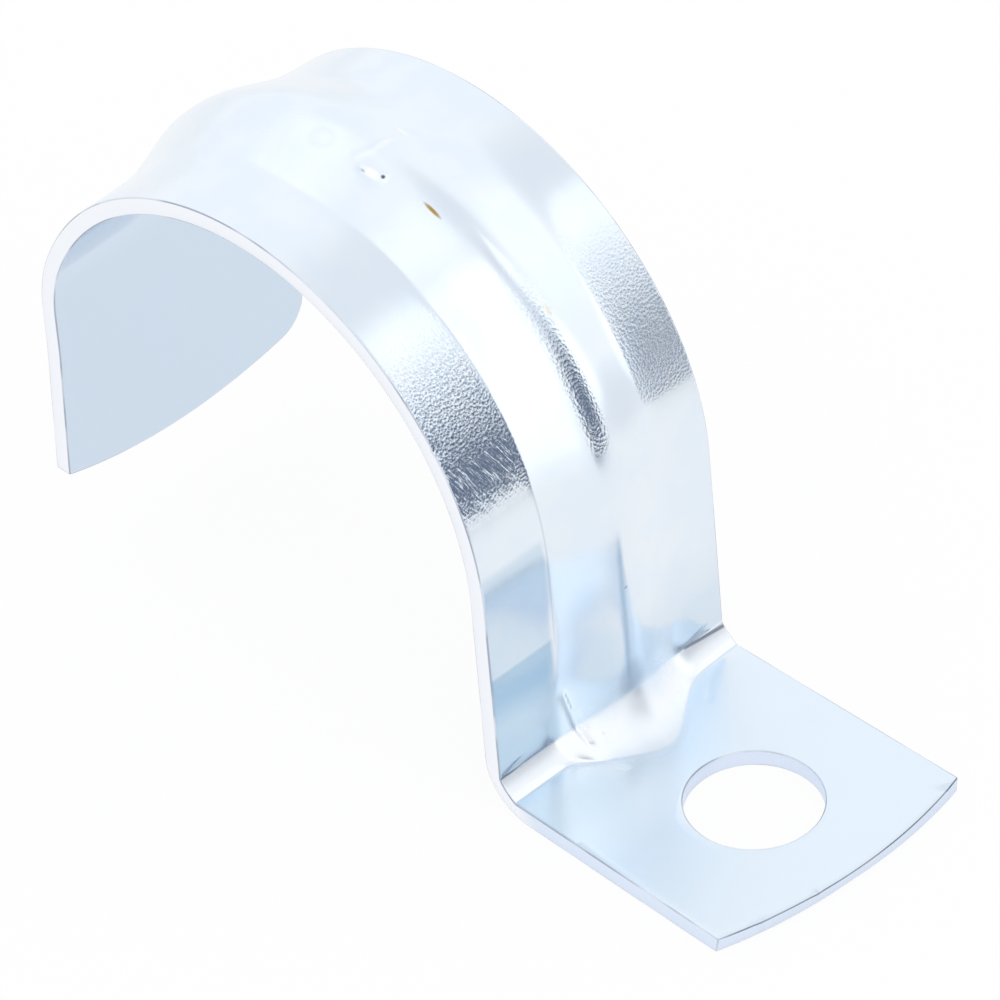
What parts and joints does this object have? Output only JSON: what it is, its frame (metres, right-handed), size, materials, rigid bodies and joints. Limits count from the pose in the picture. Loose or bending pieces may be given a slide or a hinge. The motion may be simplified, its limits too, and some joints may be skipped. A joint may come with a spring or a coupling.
{
  "type": "conduit strap",
  "caption": "One-hole strap of pressed zinc-plated sheet: a ribbed arch that grips a conduit and a flat foot with a screw hole.",
  "frame": {"origin": "centre of the screw hole, in the plane of the foot's underside", "axes": "+X out along the foot away from the arch, Y along the conduit, +Z away from the wall, out of the screw hole"},
  "size_m": [0.0482, 0.0167, 0.0289],
  "materials": {
    "zinc_plate": "bright zinc plating"
  },
  "bodies": {
    "root": {"strap": "zinc_plate"}
  },
  "joints": []
}
